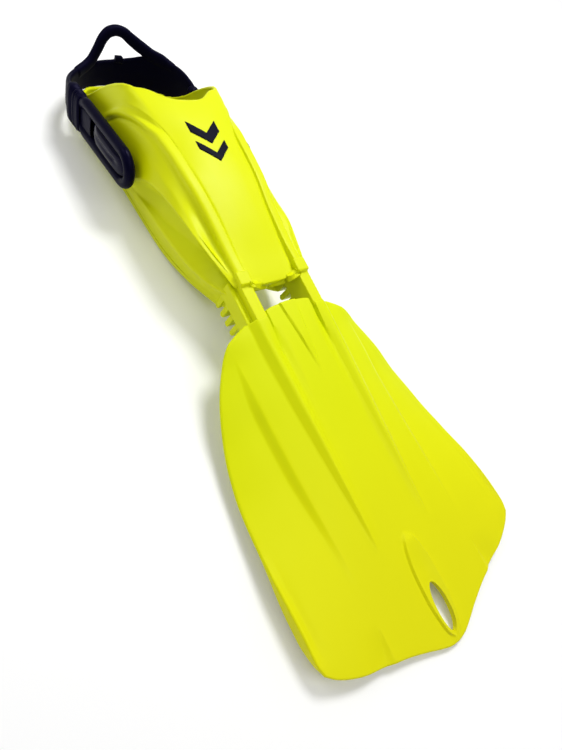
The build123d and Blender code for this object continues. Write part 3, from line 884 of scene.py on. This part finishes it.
def make_strap():
    """The heel strap: a crowned band round the heel with a finger loop on its back."""
    turn = np.radians(np.linspace(-90, 90, 91))
    forward = np.linspace(0, 6, 5)[1:][::-1]
    x = np.concatenate([STRAP_X + forward, STRAP_X - STRAP_R * np.cos(turn),
                        STRAP_X + forward[::-1]])
    y = np.concatenate([0 * forward - STRAP_R, STRAP_R * np.sin(turn), 0 * forward + STRAP_R])
    round_heel = np.concatenate([0 * forward - 94, np.degrees(turn), 0 * forward + 94])
    low = smooth(round_heel, [(-94, 18), (-85, 17), (-55, 11), (-20, 7), (0, 5.8), (22, 6.2),
                              (42, 9), (60, 14), (85, 18), (94, 18.5)])
    high = smooth(round_heel, [(-94, 47), (-80, 42), (-55, 35), (-30, 32), (0, 33), (20, 38),
                               (32, 43), (48, 48), (70, 51), (85, 50), (94, 49)])
    rearward = np.cos(np.clip(np.radians(round_heel), -math.pi / 2, math.pi / 2))
    lean = STRAP_LEAN * rearward ** 1.5
    path = np.stack([x, y + lean, (low + high) / 2], -1)
    band = tube("strap_band", path, (0, 0, 1), (high - low) / 2, 2.5, 48, square=0.45)
    swing = np.linspace(-44, 60, 105)
    height = smooth(swing, [(-44, 29), (-34, 30), (-25, 34), (-18, 44), (-13, 54), (-7, 60),
                            (0, 61.6), (6, 60.4), (14, 55.5), (24, 50.5), (38, 46.5), (48, 46.4),
                            (60, 47)])
    back = np.radians(swing)
    handle = tube("finger_loop", np.stack([STRAP_X - STRAP_R * np.cos(back),
                                           STRAP_R * np.sin(back)
                                           + STRAP_LEAN * np.cos(back) ** 1.5,
                                           height], -1), (0, 0, 1),
                  5.0 + 1.1 * fade(swing, 0, 24) - 2.4 * fade(swing, 45, 60), 3.5, 28,
                  square=0.8)
    step = block("loop_step", (-3, -3, -3), (3, 3, 3))
    place_points(step, points_of(step) / MM * (0.8, 1.3, 0.9) + (-171.3, 9.5, 35.0))
    piece = joined("heel_band", [band, handle, step])
    fused(piece, 0.8, 4)
    dress(piece, finish("navy_strap_rubber"), "strap", ["heel_strap"])


# --- settings and operators

class FinSettings(bpy.types.PropertyGroup):
    """Sizes and colours of the fin."""

    pocket_colour: bpy.props.FloatVectorProperty(
        name="Pocket colour", description="Colour of the foot pocket and the arms",
        subtype="COLOR", size=3, min=0, max=1, default=(0.74, 0.80, 0.0))
    blade_colour: bpy.props.FloatVectorProperty(
        name="Blade colour", description="Colour of the blade",
        subtype="COLOR", size=3, min=0, max=1, default=(0.76, 0.79, 0.0))
    strap_colour: bpy.props.FloatVectorProperty(
        name="Strap colour", description="Colour of the heel strap and its cuffs",
        subtype="COLOR", size=3, min=0, max=1, default=(0.0018, 0.0016, 0.0088))
    cord_colour: bpy.props.FloatVectorProperty(
        name="Cord colour", description="Colour of the bungee loops and their buttons",
        subtype="COLOR", size=3, min=0, max=1, default=(0.0016, 0.0014, 0.0090))
    pocket_wall: bpy.props.FloatProperty(
        name="Pocket wall", description="Thickness of the foot pocket's wall",
        subtype="DISTANCE", unit="LENGTH", default=0.0035, min=0.002, max=0.006)
    hole_width: bpy.props.FloatProperty(
        name="Hole width", description="Width of the hanging hole near the tip",
        subtype="DISTANCE", unit="LENGTH", default=0.013, min=0.006, max=0.018)


class FIN_OT_blade(bpy.types.Operator):
    """Build the blade"""

    bl_idname = "swim_fin.blade"
    bl_label = "Blade"

    def execute(self, context):
        make_blade(context.scene.swim_fin)
        return {"FINISHED"}


class FIN_OT_arms(bpy.types.Operator):
    """Build both flexible arms between the foot pocket and the blade"""

    bl_idname = "swim_fin.arms"
    bl_label = "Arms"

    def execute(self, context):
        for word, side in SIDES:
            piece = make_arm(f"{word}_flex_arm", side)
            dress(piece, finish("satin_lime_pocket"), None, [f"{word}_arm"])
            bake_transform(piece)
        return {"FINISHED"}


class FIN_OT_pocket(bpy.types.Operator):
    """Build the foot pocket with its plate and instep mark, and dress its footbed"""

    bl_idname = "swim_fin.pocket"
    bl_label = "Foot pocket"

    def execute(self, context):
        make_pocket(context.scene.swim_fin)
        make_mark()
        make_plate()
        # Painted shade: the footbed's near-black colour stands in for the shade inside the pocket.
        dress(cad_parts["footbed"], finish("footbed_rubber"))
        return {"FINISHED"}


class FIN_OT_strap(bpy.types.Operator):
    """Build the heel strap and its two cuffs"""

    bl_idname = "swim_fin.strap"
    bl_label = "Heel strap"

    def execute(self, context):
        make_strap()
        for word, side in SIDES:
            make_cuff(side, word)
        return {"FINISHED"}


class FIN_OT_loops(bpy.types.Operator):
    """Build the bungee loops and their buttons, and dress the retainers inside the pocket"""

    bl_idname = "swim_fin.loops"
    bl_label = "Bungee loops"

    def execute(self, context):
        for word, side in SIDES:
            make_loop(side, word)
            make_button(side, word)
            dress(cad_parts[f"{word}_retainer"], finish("retainer_plastic"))
        return {"FINISHED"}


class FIN_OT_stage(bpy.types.Operator):
    """Set out the floor, the lights and the camera"""

    bl_idname = "swim_fin.stage"
    bl_label = "Stage"

    def execute(self, context):
        make_stage(context.scene)
        return {"FINISHED"}


class FIN_PT_panel(bpy.types.Panel):
    """The fin's steps and settings"""

    bl_idname = "FIN_PT_panel"
    bl_label = "Swim fin"
    bl_space_type = "VIEW_3D"
    bl_region_type = "UI"
    bl_category = "Swim fin"

    def draw(self, context):
        for name in FinSettings.__annotations__:
            self.layout.prop(context.scene.swim_fin, name)
        for step in STEPS:
            self.layout.operator(step.bl_idname)


# Light panels: name, place, diameter and power.
LIGHTS = (("key_panel", (-0.3, 0.5, 1.2), 0.45, 12.0), ("tip_panel", (0.8, 0.25, 1.2), 0.8, 3.6),
          ("heel_panel", (-0.6, -0.55, 0.95), 0.7, 3.2))
# Camera: place, and the ways its right, its foot and its lens point.
CAMERA_PLACE = (0.3041, -0.2395, 0.3262)
CAMERA_RIGHT = Vector((0.51760, 0.76689, 0.37943))
CAMERA_DOWN = Vector((0.81596, -0.30898, -0.48859))
CAMERA_AHEAD = Vector((-0.25746, 0.56250, -0.78569))
AIR_LIGHT = 0.36
AIR_SEEN = 0.93


def make_stage(scene):
    """A pale floor, soft studio light and the camera."""
    alone()
    bpy.ops.mesh.primitive_plane_add(size=8)
    floor = bpy.context.object
    floor.name = "studio_floor"
    place_points(floor, points_of(floor) / MM + np.array([0, 0, -1.2]))
    paper = bpy.data.materials.new("studio_paper")
    paper.use_nodes = True
    surface = paper.node_tree.nodes["Principled BSDF"]
    surface.inputs["Roughness"].default_value = 0.9
    surface.inputs["Emission Color"].default_value = (1, 1, 1, 1)
    fibre = node(paper.node_tree, "TexNoise", Scale=6.0, Detail=4.0)
    tone = node(paper.node_tree, "MapRange")
    tone.inputs["To Min"].default_value = 0.90
    tone.inputs["To Max"].default_value = 0.93
    spot = node(paper.node_tree, "TexCoord")
    paper.node_tree.links.new(spot.outputs["Object"], fibre.inputs["Vector"])
    paper.node_tree.links.new(fibre.outputs["Fac"], tone.inputs["Value"])
    paper.node_tree.links.new(tone.outputs["Result"], surface.inputs["Base Color"])
    distance = node(paper.node_tree, "VectorMath", operation="LENGTH")
    glow = node(paper.node_tree, "MapRange", interpolation_type="SMOOTHSTEP")
    for field, value in (("From Min", 0.45), ("From Max", 1.3), ("To Min", 0.07), ("To Max", 0.62)):
        glow.inputs[field].default_value = value
    paper.node_tree.links.new(spot.outputs["Object"], distance.inputs[0])
    paper.node_tree.links.new(distance.outputs["Value"], glow.inputs["Value"])
    paper.node_tree.links.new(glow.outputs["Result"], surface.inputs["Emission Strength"])
    floor.data.materials.append(paper)
    world = bpy.data.worlds.new("studio_air")
    scene.world = world
    world.use_nodes = True
    world.node_tree.nodes["Background"].inputs["Color"].default_value = (1, 1, 1, 1)
    backdrop = node(world.node_tree, "LightPath")
    pale = node(world.node_tree, "MapRange")
    pale.inputs["To Min"].default_value = AIR_LIGHT
    pale.inputs["To Max"].default_value = AIR_SEEN
    air = world.node_tree.nodes["Background"].inputs["Strength"]
    world.node_tree.links.new(backdrop.outputs["Is Camera Ray"], pale.inputs["Value"])
    world.node_tree.links.new(pale.outputs["Result"], air)
    for name, place, size, power in LIGHTS:
        lamp = bpy.data.lights.new(name, "AREA")
        lamp.shape, lamp.size, lamp.energy = "DISK", size, power
        holder = bpy.data.objects.new(name, lamp)
        scene.collection.objects.link(holder)
        holder.location = place
        holder.rotation_euler = (Vector((0.12, 0, 0.03)) - Vector(place)).to_track_quat(
            "-Z", "Y").to_euler()
    camera = bpy.data.cameras.new("studio_camera")
    camera.lens, camera.sensor_width = 23.09, 36
    camera.clip_start = 0.01
    turn = Matrix((CAMERA_RIGHT, -CAMERA_DOWN, -CAMERA_AHEAD)).transposed().to_4x4()
    turn.translation = CAMERA_PLACE
    holder = bpy.data.objects.new("studio_camera", camera)
    scene.collection.objects.link(holder)
    holder.matrix_world = turn
    scene.camera = holder
    scene.view_settings.view_transform = "Standard"


STEPS = (FIN_OT_stage, FIN_OT_pocket, FIN_OT_arms, FIN_OT_blade, FIN_OT_strap, FIN_OT_loops)
CLASSES = (FinSettings, *STEPS, FIN_PT_panel)


def register():
    for made in CLASSES:
        bpy.utils.register_class(made)
    bpy.types.Scene.swim_fin = bpy.props.PointerProperty(type=FinSettings)


def unregister():
    del bpy.types.Scene.swim_fin
    for made in reversed(CLASSES):
        bpy.utils.unregister_class(made)


def main():
    """Builds the fin."""
    register()
    bpy.ops.swim_fin.stage()
    bpy.ops.swim_fin.pocket()
    bpy.ops.swim_fin.arms()
    bpy.ops.swim_fin.blade()
    bpy.ops.swim_fin.strap()
    bpy.ops.swim_fin.loops()
    alone()


if __name__ == "__main__":
    main()
